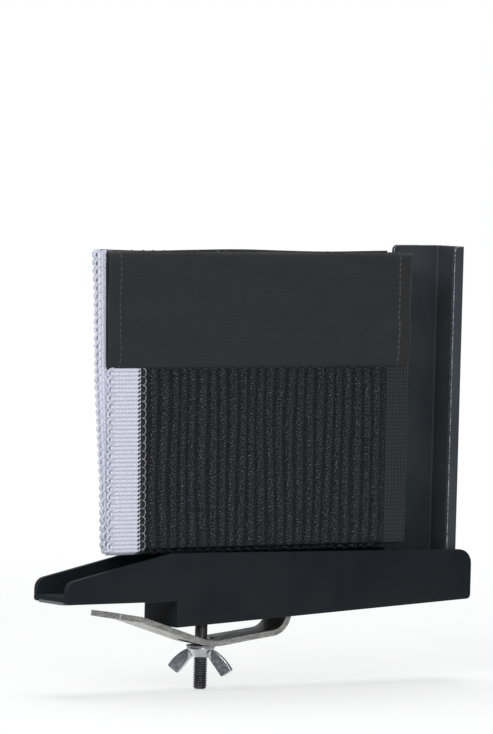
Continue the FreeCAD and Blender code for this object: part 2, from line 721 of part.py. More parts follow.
def make_net():
    """The folded net, top edge to the left: white tape, mesh, black tape, sleeves."""
    start_x = EDGE_X + " - net_start"
    mesh_width = "(net_height - top_tape - bottom_tape)"
    make_net_band("net_top_tape", "tape_sheet", start_x, "top_tape")
    make_net_band("net_mesh", "net_sheet", start_x + " + top_tape", mesh_width)
    make_net_band("net_bottom_tape", "tape_sheet",
                  start_x + " + top_tape + " + mesh_width, "bottom_tape")
    top = fold_bottom() + fold_height()
    sleeves = []
    for count, sign in enumerate(("-", ""), start=1):
        sleeve = doc.addObject("Part::Box", "sleeve_%d" % count)
        bind(sleeve, "Length", "net_height")
        bind(sleeve, "Width", "sleeve_sheet")
        bind(sleeve, "Height", "sleeve_length")
        place(sleeve, start_x)
        bind(sleeve, "Placement.Base.y",
             sign + "(net_layers - 1) / 2 * net_pitch - sleeve_sheet / 2")
        bind(sleeve, "Placement.Base.z", "%f - sleeve_length" % top)
        sleeves.append(sleeve)
    pair = doc.addObject("Part::Compound", "sleeve_pair")
    pair.Links = sleeves
    doc.recompute()
    node(pair, "net_end_sleeves")


def check(things):
    """Stop if any object failed or any piece has no sound shape."""
    for thing in doc.Objects:
        if "Invalid" in thing.State or "Error" in thing.State:
            raise RuntimeError("%s failed: %s" % (thing.Label, thing.State))
    for thing in things:
        shape = thing.Shape
        if shape.isNull() or not shape.isValid():
            raise RuntimeError("%s has no valid shape" % thing.Label)
        print("%-16s solids %d  volume %.1f  %s" % (
            thing.Label, len(shape.Solids), shape.Volume, shape.BoundBox))


make_arm()
make_pad()
make_post()
make_rivets()
make_bolt()
make_plate()
make_washer()
make_wing_nut()
make_net()
doc.recompute()
check(nodes)

os.makedirs("parts", exist_ok=True)
for piece in nodes:
    piece.Shape.exportStep("parts/%s.step" % piece.Label)
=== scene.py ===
# %% [markdown]
# # A table tennis net clamp
# The object is one net post for a table tennis table: a moulded arm that lies over the
# table's end, a bent steel upright, a screw clamp below with its slotted plate and wing
# nut, and the net, folded up and standing on the arm. The hard parts come from the CAD
# model and stay as they are. This lesson gives them their finishes, and builds what CAD
# only stands in for: the screw thread and the cloth.

import math

import bpy
import numpy as np
from mathutils import Matrix, Vector, noise


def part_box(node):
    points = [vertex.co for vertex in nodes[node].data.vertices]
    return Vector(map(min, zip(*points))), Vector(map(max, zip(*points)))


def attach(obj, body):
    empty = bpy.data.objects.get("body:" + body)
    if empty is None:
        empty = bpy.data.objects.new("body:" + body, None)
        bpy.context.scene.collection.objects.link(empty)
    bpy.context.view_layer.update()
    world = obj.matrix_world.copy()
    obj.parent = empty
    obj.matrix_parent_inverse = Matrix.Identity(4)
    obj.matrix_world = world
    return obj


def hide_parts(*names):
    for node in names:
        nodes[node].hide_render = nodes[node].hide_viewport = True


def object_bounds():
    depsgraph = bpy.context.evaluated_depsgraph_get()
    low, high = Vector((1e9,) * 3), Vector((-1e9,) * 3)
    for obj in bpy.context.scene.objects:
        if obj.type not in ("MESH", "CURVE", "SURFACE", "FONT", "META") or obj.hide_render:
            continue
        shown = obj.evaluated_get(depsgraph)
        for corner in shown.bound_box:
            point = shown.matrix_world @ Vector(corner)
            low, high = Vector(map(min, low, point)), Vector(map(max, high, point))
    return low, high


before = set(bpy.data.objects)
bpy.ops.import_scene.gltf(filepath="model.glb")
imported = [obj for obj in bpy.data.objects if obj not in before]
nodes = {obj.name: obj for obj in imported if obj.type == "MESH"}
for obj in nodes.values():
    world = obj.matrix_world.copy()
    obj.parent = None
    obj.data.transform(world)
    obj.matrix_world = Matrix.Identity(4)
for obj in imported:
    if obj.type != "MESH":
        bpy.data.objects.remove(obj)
cad_low, cad_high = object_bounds()
MM = 0.001
print("pieces of the CAD model:", sorted(nodes))

# %% [markdown]
# The photograph was taken from far away with a long lens, from the front and a little
# to the left, nearly level. With a long lens, parallel edges stay almost parallel, so
# the place and the turn of the camera matter more than anything else in the picture.

# %% Camera
photo_height = 734
photo_focal = 5880.0
sensor = 36.0
camera_place = Vector((-1.4180, -2.0510, 0.2186))
camera_heading = math.radians(35.98)
camera_dip = math.radians(-2.69)
camera_roll = math.radians(1.53)

lens = bpy.data.cameras.new("camera")
lens.sensor_width = sensor
lens.lens = photo_focal * sensor / photo_height
lens.clip_start = 0.05
lens.clip_end = 60.0
camera = bpy.data.objects.new("camera", lens)
bpy.context.scene.collection.objects.link(camera)
camera.matrix_world = (
    Matrix.Translation(camera_place)
    @ Matrix.Rotation(-camera_heading, 4, "Z")
    @ Matrix.Rotation(math.pi / 2 + camera_dip, 4, "X")
    @ Matrix.Rotation(camera_roll, 4, "Z")
)
bpy.context.scene.camera = camera
print("lens %.0f mm, camera at" % lens.lens, tuple(round(c, 3) for c in camera_place))

# %% [markdown]
# Materials and the surround are made of nodes. Small helpers keep the cells short. The
# first adds a node and sets or links its inputs by name, others do sums, blend colours
# and stretch a value, and the last ones start a group or a material.

# %% Node helpers
def put(tree, kind, settings=None, **inputs):
    """A node with its settings, and its inputs set to values or linked to sockets."""
    node = tree.nodes.new(kind)
    for key, value in (settings or {}).items():
        setattr(node, key, value)
    for key, value in inputs.items():
        connect(tree, value, node.inputs[key.replace("_", " ")])
    return node


def connect(tree, value, socket):
    """Link an output to a socket, or set the socket to a plain value."""
    if isinstance(value, bpy.types.NodeSocket):
        tree.links.new(value, socket)
    else:
        socket.default_value = value


def calc(tree, operation, first, second=0.0, third=0.0):
    """One sum, for numbers or outputs."""
    node = tree.nodes.new("ShaderNodeMath")
    node.operation = operation
    for value, socket in zip((first, second, third), node.inputs):
        connect(tree, value, socket)
    return node.outputs[0]


def blend_colours(tree, factor, first, second):
    node = put(tree, "ShaderNodeMix", {"data_type": "RGBA"})
    connect(tree, factor, node.inputs["Factor"])
    connect(tree, first, node.inputs["A"])
    connect(tree, second, node.inputs["B"])
    return node.outputs["Result"]


def ramp(tree, value, low, high, out_low=0.0, out_high=1.0):
    """Stretch a value between two limits to a new range, smoothly."""
    node = put(tree, "ShaderNodeMapRange", {"interpolation_type": "SMOOTHSTEP"})
    connect(tree, value, node.inputs["Value"])
    node.inputs["From Min"].default_value = low
    node.inputs["From Max"].default_value = high
    node.inputs["To Min"].default_value = out_low
    node.inputs["To Max"].default_value = out_high
    return node.outputs["Result"]


def noise_at(tree, scale, detail=2.0, vector=None, roughness=0.5):
    node = put(tree, "ShaderNodeTexNoise", Scale=scale, Detail=detail, Roughness=roughness)
    if vector is not None:
        tree.links.new(vector, node.inputs["Vector"])
    return node.outputs["Fac"]


def new_group(name, inputs, outputs):
    """An empty shader group with number inputs and outputs of the given kinds."""
    group = bpy.data.node_groups.new(name, "ShaderNodeTree")
    for label, value in inputs.items():
        socket = group.interface.new_socket(label, in_out="INPUT", socket_type="NodeSocketFloat")
        socket.default_value = value
    for label, kind in outputs.items():
        group.interface.new_socket(label, in_out="OUTPUT", socket_type="NodeSocket" + kind)
    start = group.nodes.new("NodeGroupInput")
    finish = group.nodes.new("NodeGroupOutput")
    return group, start.outputs, finish.inputs


def use_group(tree, group, **inputs):
    node = tree.nodes.new("ShaderNodeGroup")
    node.node_tree = group
    for key, value in inputs.items():
        connect(tree, value, node.inputs[key.replace("_", " ")])
    return node.outputs


def start_material(name):
    """A material, its tree and its Principled shader."""
    material = bpy.data.materials.new(name)
    material.use_nodes = True
    return material, material.node_tree, material.node_tree.nodes["Principled BSDF"]


def object_place(tree):
    """Coordinates that stay with the piece."""
    return put(tree, "ShaderNodeTexCoord").outputs["Object"]


def set_shader(tree, shader, **inputs):
    for key, value in inputs.items():
        connect(tree, value, shader.inputs[key.replace("_", " ")])


print("node helpers ready")

# %% [markdown]
# A product picture has soft light from large lamps and a white surround. The surround is
# white only where the camera looks at it. Everything else sees a dim room that is
# lighter above, with a few tall bright panels round it, so that black parts stay black
# and shiny metal has something light and something dark to reflect.

# %% Light and surround
scene = bpy.context.scene
scene.view_settings.view_transform = "Standard"
WHITE = (1.0, 1.0, 1.0, 1.0)
room_low = (0.12, 0.12, 0.13, 1.0)
room_high = (0.55, 0.56, 0.58, 1.0)
rise_from = 0.05
rise_to = 0.9
panel_light = (0.85, 0.86, 0.88, 1.0)
panel_count = 3.0
panel_turn = 0.9
panel_outer = 0.70
panel_inner = 0.92

world = bpy.data.worlds.new("surround")
scene.world = world
world.use_nodes = True
sky = world.node_tree
sky_way = put(sky, "ShaderNodeTexCoord").outputs["Generated"]
sky_parts = put(sky, "ShaderNodeSeparateXYZ", Vector=sky_way).outputs
sky_rise = put(sky, "ShaderNodeMapRange", Value=sky_parts["Z"], From_Min=rise_from, From_Max=rise_to)
room = blend_colours(sky, sky_rise.outputs["Result"], room_low, room_high)
heading = calc(sky, "ARCTAN2", sky_parts["Y"], sky_parts["X"])
wave = calc(sky, "SINE", calc(sky, "MULTIPLY_ADD", heading, panel_count, panel_turn))
lit_room = blend_colours(sky, ramp(sky, wave, panel_outer, panel_inner), room, panel_light)
sky_path = put(sky, "ShaderNodeLightPath").outputs
seen = blend_colours(sky, sky_path["Is Camera Ray"], lit_room, WHITE)
connect(sky, seen, sky.nodes["Background"].inputs["Color"])


def area_lamp(name, place, target, size, power):
    """A square lamp that looks at a point."""
    light = bpy.data.lights.new(name, "AREA")
    light.shape = "SQUARE"
    light.size = size
    light.energy = power
    lamp = bpy.data.objects.new(name, light)
    scene.collection.objects.link(lamp)
    lamp.location = place
    lamp.rotation_mode = "QUATERNION"
    lamp.rotation_quaternion = (Vector(target) - Vector(place)).to_track_quat("-Z", "Y")


middle = (cad_low + cad_high) / 2
lamps = [
    ("lamp_left", (-1.5, -0.9, 1.0), 0.8, 18.0),
    ("lamp_front", (-0.5, -2.1, 0.6), 0.8, 9.0),
    ("lamp_above", (0.2, 0.3, 1.5), 0.9, 12.0),
]
for lamp_name, lamp_place, lamp_size, lamp_power in lamps:
    area_lamp(lamp_name, lamp_place, middle, lamp_size, lamp_power)
print(len(lamps), "lamps look at", tuple(round(c, 3) for c in middle))

# %% [markdown]
# The floor lies just below the bolt's end. Near the object it is a pale matt surface
# that takes the soft shadow, helped to white by light of its own that only the camera
# sees. Further away it is plain white, so it has no visible end, but in reflections it
# is as dim as the room, or shiny upright faces would all turn white. From below it can be
# seen through, so that the underside of the object can be looked at too.

# %% Floor
floor_half = 3.0
floor_gap = 0.4 * MM
floor_z = cad_low.z - floor_gap
floor_near = 0.28
floor_far = 0.75
floor_glow = 0.6
mirror_near = 0.12
mirror_far = 0.25
floor_mesh = bpy.data.meshes.new("floor")
floor_mesh.from_pydata(
    [(x, y, floor_z) for x, y in ((-floor_half, -floor_half), (floor_half, -floor_half),
                                  (floor_half, floor_half), (-floor_half, floor_half))],
    [], [(0, 1, 2, 3)])
floor = bpy.data.objects.new("floor", floor_mesh)
scene.collection.objects.link(floor)

floor_paint, floor_tree, floor_shader = start_material("pale floor")
set_shader(floor_tree, floor_shader,
           Base_Color=(0.86, 0.86, 0.86, 1.0), Roughness=0.9, Specular_IOR_Level=0.1)
floor_apart = put(floor_tree, "ShaderNodeVectorMath", {"operation": "DISTANCE"},
                  Vector=object_place(floor_tree))
floor_apart.inputs[1].default_value = (middle.x, middle.y, floor_z)
floor_path = put(floor_tree, "ShaderNodeLightPath").outputs


def mix_shaders(share, first, second):
    """The floor's first shader, and a share of the second."""
    mixed = put(floor_tree, "ShaderNodeMixShader", Fac=share)
    connect(floor_tree, first, mixed.inputs[1])
    connect(floor_tree, second, mixed.inputs[2])
    return mixed.outputs[0]


def floor_switch(ray, near, far, at_near, shader, light):
    """From shader to plain light for one kind of ray, the more so the further away."""
    fade = ramp(floor_tree, floor_apart.outputs["Value"], near, far, at_near)
    glow = put(floor_tree, "ShaderNodeEmission", Color=light)
    return mix_shaders(calc(floor_tree, "MULTIPLY", fade, floor_path[ray]), shader, glow.outputs[0])


mirrored = floor_switch("Is Glossy Ray", mirror_near, mirror_far, 0.0, floor_shader.outputs[0], room_low)
upper_side = floor_switch("Is Camera Ray", floor_near, floor_far, floor_glow, mirrored, WHITE)
from_below = put(floor_tree, "ShaderNodeNewGeometry").outputs["Backfacing"]
one_sided = mix_shaders(from_below, upper_side, put(floor_tree, "ShaderNodeBsdfTransparent").outputs[0])
connect(floor_tree, one_sided, floor_tree.nodes["Material Output"].inputs["Surface"])
floor_mesh.materials.append(floor_paint)
print("floor at %.1f mm" % (floor_z / MM))

# %% [markdown]
# Real edges are never quite sharp. They are a little rounded and catch the light, and paint or plating is
# thinnest there and wears off in specks. The Bevel node looks for edges near each point; where its normal
# differs from the face's own, there is an edge. Inner corners don't wear: there the surface shades itself,
# and the mask is taken away. Every hard material uses this, so it is a group. Some paint worn specks with
# its mask; the zinc parts, the bolt and the arm also paint their edges lighter with it as a painted
# highlight.

# %% Worn and highlit edges
worn_and_highlit_edges, edge_in, edge_out = new_group(
    "worn and highlit edges",
    {"Radius": 0.4 * MM, "Speckle Size": 0.5 * MM, "Amount": 1.0},
    {"Mask": "Float", "Normal": "Vector"})
group = worn_and_highlit_edges
edge_finder = put(group, "ShaderNodeBevel", {"samples": 6}, Radius=edge_in["Radius"])
alike = put(group, "ShaderNodeVectorMath", {"operation": "DOT_PRODUCT"},
            Vector=edge_finder.outputs["Normal"])
connect(group, put(group, "ShaderNodeNewGeometry").outputs["Normal"], alike.inputs[1])
turned = calc(group, "SUBTRACT", 1.0, alike.outputs["Value"])
shelter = put(group, "ShaderNodeAmbientOcclusion", {"only_local": True, "samples": 6},
              Distance=calc(group, "MULTIPLY", edge_in["Radius"], 2.0))
outer = ramp(group, shelter.outputs["AO"], 0.72, 0.9)
near_edge = calc(group, "MULTIPLY", ramp(group, turned, 0.01, 0.2), outer)
speckle_scale = calc(group, "DIVIDE", 1.0, edge_in["Speckle Size"])
speckle = ramp(group, noise_at(group, speckle_scale, 3.0, object_place(group)), 0.38, 0.62)
mask = calc(group, "MULTIPLY", calc(group, "MULTIPLY", near_edge, speckle), edge_in["Amount"])
connect(group, mask, edge_out["Mask"])
connect(group, edge_finder.outputs["Normal"], edge_out["Normal"])
print("group:", worn_and_highlit_edges.name)

# %% [markdown]
# Moulded plastic, powder coat and rubber all have a fine grain, and large faint clouds
# where hands and the mould left them glossier or duller. One group gives both: a height
# for the bump, and a cloud to vary colour and gloss.

# %% Grain
grain, grain_in, grain_out = new_group(
    "grain", {"Grain Size": 0.4 * MM, "Cloud Size": 20 * MM},
    {"Height": "Float", "Cloud": "Float"})
group = grain
grain_place = object_place(group)
fine_scale = calc(group, "DIVIDE", 1.0, grain_in["Grain Size"])
fine = noise_at(group, fine_scale, 2.0, grain_place)
pits = put(group, "ShaderNodeTexVoronoi", {"feature": "SMOOTH_F1"}, Vector=grain_place, Scale=fine_scale)
height = calc(group, "MULTIPLY_ADD", pits.outputs["Distance"], 0.6, fine)
cloud_scale = calc(group, "DIVIDE", 1.0, grain_in["Cloud Size"])
cloud = ramp(group, noise_at(group, cloud_scale, 4.0, grain_place, 0.6), 0.3, 0.7)
connect(group, height, grain_out["Height"])
connect(group, cloud, grain_out["Cloud"])
print("group:", grain.name)


def bumped(tree, height, strength, distance, normal=None):
    """A Bump node's normal for a height, laid over another normal if there is one."""
    node = put(tree, "ShaderNodeBump", Height=height, Strength=strength, Distance=distance)
    if normal is not None:
        tree.links.new(normal, node.inputs["Normal"])
    return node.outputs["Normal"]


# %% [markdown]
# The arm is black plastic from a mould that was lightly textured. Its corners are painted a little lighter
# than the faces, partly as wear and partly as a painted highlight.

# %% Arm plastic
def make_arm_plastic():
    material, tree, shader = start_material("black moulded plastic")
    edge_wear_and_highlight = use_group(tree, worn_and_highlit_edges, Radius=0.5 * MM, Speckle_Size=1.5 * MM, Amount=0.7)
    skin = use_group(tree, grain, Grain_Size=0.45 * MM, Cloud_Size=25 * MM)
    face = blend_colours(tree, skin["Cloud"], (0.0070, 0.0105, 0.0135, 1), (0.0100, 0.0145, 0.0175, 1))
    set_shader(tree, shader,
               # Edge colour: partly wear, partly a painted highlight.
               Base_Color=blend_colours(tree, edge_wear_and_highlight["Mask"], face, (0.030, 0.036, 0.040, 1)),
               Roughness=ramp(tree, skin["Cloud"], 0.0, 1.0, 0.50, 0.60),
               Specular_IOR_Level=0.20,
               Normal=bumped(tree, skin["Height"], 0.35, 0.05 * MM, edge_wear_and_highlight["Normal"]))
    return material


arm_plastic = make_arm_plastic()
print("made", arm_plastic.name)

# %% [markdown]
# The upright is sheet steel under black powder coat. The coat has a faint orange-peel
# skin. On the sheet's cut edges it is thin and gritty, and bare steel shows in specks:
# the photograph has a bright speckled line down the front lip.

# %% Powder coat
def make_powder_coat(name, dark, light, bare, amount):
    material, tree, shader = start_material(name)
    edge_wear_and_highlight = use_group(tree, worn_and_highlit_edges, Radius=0.8 * MM, Speckle_Size=0.8 * MM, Amount=amount)
    skin = use_group(tree, grain, Grain_Size=0.7 * MM, Cloud_Size=30 * MM)
    face = blend_colours(tree, skin["Cloud"], dark, light)
    set_shader(tree, shader,
               Base_Color=blend_colours(tree, edge_wear_and_highlight["Mask"], face, bare),
               Roughness=ramp(tree, skin["Cloud"], 0.0, 1.0, 0.42, 0.52),
               Specular_IOR_Level=0.35,
               Normal=bumped(tree, skin["Height"], 0.3, 0.08 * MM, edge_wear_and_highlight["Normal"]))
    return material


post_paint = make_powder_coat("black powder coat", (0.031, 0.038, 0.044, 1),
                              (0.044, 0.052, 0.058, 1), (0.60, 0.61, 0.63, 1), 1.0)
rivet_paint = make_powder_coat("satin black rivet", (0.018, 0.020, 0.022, 1),
                               (0.026, 0.028, 0.031, 1), (0.22, 0.22, 0.23, 1), 0.5)
print("made", post_paint.name, "and", rivet_paint.name)

# %% [markdown]
# The pad that touches the table is grey rubber: matt, slightly dusty, with a soft skin.

# %% Rubber
def make_rubber():
    material, tree, shader = start_material("grey rubber")
    edge_wear_and_highlight = use_group(tree, worn_and_highlit_edges, Radius=0.3 * MM, Speckle_Size=1.0 * MM, Amount=0.5)
    skin = use_group(tree, grain, Grain_Size=0.3 * MM, Cloud_Size=9 * MM)
    face = blend_colours(tree, skin["Cloud"], (0.10, 0.105, 0.11, 1), (0.15, 0.155, 0.165, 1))
    set_shader(tree, shader,
               Base_Color=blend_colours(tree, edge_wear_and_highlight["Mask"], face, (0.24, 0.24, 0.25, 1)),
               Roughness=ramp(tree, skin["Cloud"], 0.0, 1.0, 0.75, 0.88),
               Normal=bumped(tree, skin["Height"], 0.5, 0.06 * MM, edge_wear_and_highlight["Normal"]))
    return material


pad_rubber = make_rubber()
print("made", pad_rubber.name)

# %% [markdown]
# The plate, washer and nut are zinc plated. The plate was sheared and bent from dull
# strip, so it is a speckled beige grey with fine streaks along it. The nut is smoother.
# Its wings' flat faces are painted a darker zinc as painted shade, while their narrow sides and the boss
# are painted bright all over as a painted highlight. All three have their edges painted lighter as a
# painted highlight. One group makes the tone of all three.

# %% Zinc
zinc_tone, zinc_in, zinc_out = new_group(
    "zinc tone", {"Streak Size": 1.0 * MM, "Speckle Size": 0.5 * MM, "Speckle": 0.4},
    {"Tone": "Float"})
group = zinc_tone
zinc_place = object_place(group)
zinc_stretch = put(group, "ShaderNodeMapping", Vector=zinc_place, Scale=(0.22, 1.0, 1.0))
streaks = noise_at(group, calc(group, "DIVIDE", 1.0, zinc_in["Streak Size"]), 4.0,
                   zinc_stretch.outputs["Vector"], 0.65)
specks = noise_at(group, calc(group, "DIVIDE", 1.0, zinc_in["Speckle Size"]), 3.0, zinc_place, 0.7)
zinc_sum = calc(group, "MULTIPLY_ADD", calc(group, "SUBTRACT", specks, 0.5), zinc_in["Speckle"], streaks)
connect(group, ramp(group, zinc_sum, 0.32, 0.68), zinc_out["Tone"])
print("group:", zinc_tone.name)


def make_zinc(name, dark, light, painted_highlight, speckle, rough_low, rough_high, grit):
    material, tree, shader = start_material(name)
    edge_wear_and_highlight = use_group(tree, worn_and_highlit_edges, Radius=0.35 * MM, Speckle_Size=2.0 * MM, Amount=1.0)
    skin = use_group(tree, grain, Grain_Size=0.35 * MM, Cloud_Size=7 * MM)
    tone = use_group(tree, zinc_tone, Streak_Size=1.3 * MM, Speckle_Size=0.45 * MM,
                     Speckle=speckle)["Tone"]
    face = blend_colours(tree, tone, dark, light)
    set_shader(tree, shader,
               Base_Color=blend_colours(tree, edge_wear_and_highlight["Mask"], face, painted_highlight),
               Metallic=1.0,
               Roughness=ramp(tree, tone, 0.0, 1.0, rough_high, rough_low),
               Normal=bumped(tree, skin["Height"], grit, 0.04 * MM, edge_wear_and_highlight["Normal"]))
    return material


wing_turn = math.radians(-65.0)
boss_radius = 5.6 * MM


def near_axis(tree, name, radius):
    """1 within a radius of a piece's upright axis, and 0 outside it."""
    low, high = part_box(name)
    axis = nodes[name].matrix_world.inverted() @ ((low + high) / 2)
    level = put(tree, "ShaderNodeMapping", Vector=object_place(tree),
                Location=(-axis.x, -axis.y, 0.0), Scale=(1.0, 1.0, 0.0))
    reach = put(tree, "ShaderNodeVectorMath", {"operation": "LENGTH"}, Vector=level.outputs["Vector"])
    return ramp(tree, reach.outputs["Value"], radius, radius + 0.3 * MM, 1.0, 0.0)


def narrow_sides(tree, turn):
    """1 on the narrow sides of a flat upright plate turned about Z, 0 on its flat faces."""
    facing = put(tree, "ShaderNodeVectorMath", {"operation": "DOT_PRODUCT"},
                 Vector=put(tree, "ShaderNodeTexCoord").outputs["Normal"])
    facing.inputs[1].default_value = (-math.sin(turn), math.cos(turn), 0.0)
    return ramp(tree, calc(tree, "ABSOLUTE", facing.outputs["Value"]), 0.88, 0.96, 1.0, 0.0)


def make_nut_zinc():
    material, tree, shader = start_material("zinc with painted highlights")
    edge_wear_and_highlight = use_group(tree, worn_and_highlit_edges, Radius=0.6 * MM, Speckle_Size=6.0 * MM, Amount=1.0)
    skin = use_group(tree, grain, Grain_Size=0.5 * MM, Cloud_Size=5 * MM)
    tone = use_group(tree, zinc_tone, Streak_Size=1.3 * MM, Speckle_Size=0.45 * MM, Speckle=0.3)["Tone"]
    wing = blend_colours(tree, tone, (0.15, 0.155, 0.17, 1), (0.25, 0.255, 0.275, 1))
    # The boss and the wings' narrow sides are painted bright as a painted highlight; the flat faces keep a
    # darker zinc as painted shade.
    painted_highlight = calc(tree, "MAXIMUM", near_axis(tree, "wing_nut", boss_radius), narrow_sides(tree, wing_turn))
    face = blend_colours(tree, painted_highlight, wing, (0.70, 0.71, 0.73, 1))
    # Edges painted near white as a painted highlight.
    set_shader(tree, shader,
               Base_Color=blend_colours(tree, edge_wear_and_highlight["Mask"], face, (0.97, 0.97, 0.98, 1)),
               Metallic=1.0,
               Roughness=ramp(tree, tone, 0.0, 1.0, 0.20, 0.12),
               Normal=bumped(tree, skin["Height"], 0.04, 0.04 * MM, edge_wear_and_highlight["Normal"]))
    return material


# The third colour of each zinc goes on its edges as a painted highlight.
plate_zinc = make_zinc("dull zinc", (0.30, 0.30, 0.28, 1), (0.66, 0.66, 0.63, 1),
                       (0.85, 0.85, 0.82, 1), 1.3, 0.34, 0.50, 0.35)
washer_zinc = make_zinc("washer zinc", (0.28, 0.29, 0.31, 1), (0.42, 0.43, 0.45, 1),
                        (0.92, 0.92, 0.93, 1), 0.4, 0.16, 0.26, 0.06)
nut_zinc = make_nut_zinc()
print("made", plate_zinc.name, "and", washer_zinc.name, "and", nut_zinc.name)

# %% [markdown]
# The bolt is blackened steel, oiled: dark, with small sharp lights on its thread, painted lighter on its
# edges as a painted highlight.

# %% Blackened steel
def make_black_steel():
    material, tree, shader = start_material("blackened steel")
    edge_wear_and_highlight = use_group(tree, worn_and_highlit_edges, Radius=0.12 * MM, Speckle_Size=0.8 * MM, Amount=0.6)
    skin = use_group(tree, grain, Grain_Size=0.3 * MM, Cloud_Size=5 * MM)
    face = blend_colours(tree, skin["Cloud"], (0.050, 0.050, 0.053, 1), (0.110, 0.110, 0.115, 1))
    set_shader(tree, shader,
               Base_Color=blend_colours(tree, edge_wear_and_highlight["Mask"], face, (0.42, 0.42, 0.44, 1)),
               Metallic=0.7,
               Roughness=ramp(tree, skin["Cloud"], 0.0, 1.0, 0.25, 0.40),
               Normal=bumped(tree, skin["Height"], 0.2, 0.03 * MM))
    return material


bolt_black = make_black_steel()
print("made", bolt_black.name)

# %% [markdown]
# The hard CAD pieces keep their own meshes. Each gets its finish in its material slot.

# %% Dress the hard pieces
def dress(name, material):
    mesh = nodes[name].data
    mesh.materials.clear()
    mesh.materials.append(material)


dress("arm", arm_plastic)
dress("table_pad", pad_rubber)
dress("post", post_paint)
dress("post_rivets", rivet_paint)
dress("clamp_plate", plate_zinc)
dress("nut_washer", washer_zinc)
dress("wing_nut", nut_zinc)
print("dressed the hard pieces")

# %% [markdown]
# CAD draws the bolt's thread as a plain cylinder. The photograph shows the thread, so the
# bolt is built again with the real helix. A lathed surface is a grid: rows along the
# axis, columns around it. The thread is the same grid, where the radius also depends on
# how far the row and the column together have gone through a turn.

# %% Thread
bolt_low, bolt_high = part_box("clamp_bolt")
bolt_x = (bolt_low.x + bolt_high.x) / 2
thread_pitch = 1.0 * MM
thread_radius = 3.0 * MM
thread_depth = 0.58 * MM
thread_start = -16.5 * MM
shank_radius = 2.675 * MM
end_chamfer = 0.8 * MM
root_share = 0.18
flank_share = 0.58
around = 48
rows_per_turn = 12


def thread_profile(share):
    """The thread's height, 0 to 1, through one pitch: root, rise, flat crest, fall."""
    wave = 1 - abs(2 * (share % 1.0) - 1)
    return min(1.0, max(0.0, (wave - root_share) / flank_share))


def threaded_rows():
    """Rows (height, radius for each column) from the bolt's end up to the shank."""
    rows = []
    count = int((thread_start - bolt_low.z) / thread_pitch * rows_per_turn)
    for step in range(count):
        z = bolt_low.z + step * thread_pitch / rows_per_turn
        limit = thread_radius - max(0.0, end_chamfer - (z - bolt_low.z))
        run_out = min(1.0, (thread_start - z) / thread_pitch)
        row = []
        for column in range(around):
            ridge = thread_profile(z / thread_pitch - column / around)
            radius = thread_radius - thread_depth * (1 - ridge)
            row.append(min(shank_radius + (radius - shank_radius) * run_out, limit))
        rows.append((z, row))
    return rows


print("thread rows:", len(threaded_rows()))

# %% [markdown]
# Above the thread come the plain shank, a square neck that stops the bolt from turning
# in the arm's floor, and a mushroom head with a thin straight rim.

# %% Bolt
floor_top = 3.2 * MM
neck_height = 2.0 * MM
neck_half = 3.0 * MM
head_radius = (bolt_high.x - bolt_low.x) / 2
head_rim = 0.8 * MM
head_soft = 0.3 * MM
crown_tip = 0.05 * MM
crown_steps = 10


def plain_row(z, radius):
    return z, [radius] * around


def head_rows():
    """Rings over the mushroom head: under side, rim and crown."""
    rows = [plain_row(floor_top, head_radius - head_soft),
            plain_row(floor_top + head_soft, head_radius),
            plain_row(floor_top + head_rim, head_radius)]
    rise = bolt_high.z - floor_top - head_rim
    for step in range(1, crown_steps + 1):
        turn = math.pi / 2 * step / crown_steps
        rows.append(plain_row(floor_top + head_rim + rise * math.sin(turn),
                              max(crown_tip, head_radius * math.cos(turn))))
    return rows


def lathe_mesh(name, rows):
    """A closed surface through rings of points."""
    vertices = []
    faces = [tuple(reversed(range(around)))]
    for z, radii in rows:
        for column, radius in enumerate(radii):
            angle = 2 * math.pi * column / around
            vertices.append((radius * math.cos(angle), radius * math.sin(angle), z))
    for low in range(0, (len(rows) - 1) * around, around):
        for column in range(around):
            after = (column + 1) % around
            faces.append((low + column, low + after, low + around + after, low + around + column))
    faces.append(tuple(range((len(rows) - 1) * around, len(rows) * around)))
    mesh = bpy.data.meshes.new(name)
    mesh.from_pydata(vertices, [], faces)
    return mesh


def neck_mesh():
    """The square neck, let into the floor under the head."""
    corners = [(-neck_half, -neck_half), (neck_half, -neck_half),
               (neck_half, neck_half), (-neck_half, neck_half)]
    points = [(x, y, z) for z in (floor_top - neck_height, floor_top) for x, y in corners]
    mesh = bpy.data.meshes.new("bolt_neck")
    sides = [(low, (low + 1) % 4, (low + 1) % 4 + 4, low + 4) for low in range(4)]
    mesh.from_pydata(points, [], [(3, 2, 1, 0), (4, 5, 6, 7)] + sides)
    return mesh


def add_piece(name, data, material, body):
    """Link a new piece, give it its finish and let it ride on a body."""
    piece = bpy.data.objects.new(name, data)
    scene.collection.objects.link(piece)
    data.materials.append(material)
    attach(piece, body)
    return piece


def make_bolt():
    shank = [plain_row(thread_start, shank_radius), plain_row(floor_top, shank_radius)]
    mesh = lathe_mesh("bolt_threaded", threaded_rows() + shank + head_rows())
    mesh.transform(Matrix.Translation((bolt_x, 0.0, 0.0)))
    mesh.shade_smooth()
    mesh.set_sharp_from_angle(angle=math.radians(50))
    turned = add_piece("bolt_threaded", mesh, bolt_black, "post_frame")
    square = neck_mesh()
    square.transform(Matrix.Translation((bolt_x, 0.0, 0.0)))
    neck = add_piece("bolt_neck", square, bolt_black, "post_frame")
    soft = neck.modifiers.new("soft corners", "BEVEL")
    soft.width = head_soft
    soft.segments = 2
    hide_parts("clamp_bolt")
    print("bolt:", len(mesh.polygons), "faces")


make_bolt()

# %% [markdown]
# The net is one long strip of cloth, folded back and forth into upright layers and stood
# on the arm. Its middle line is a zigzag with a half turn at each fold. Real folds are
# never in line. The layers slip and lean, and the knit stretches and shrinks in width:
# in the photograph the second layer peeks out to the left of the first, and the deeper
# ones stay behind it. So two short lists say how far the net's top edge and its bottom
# edge have slipped at each fold, in millimetres, and all that is sewn to it follows.

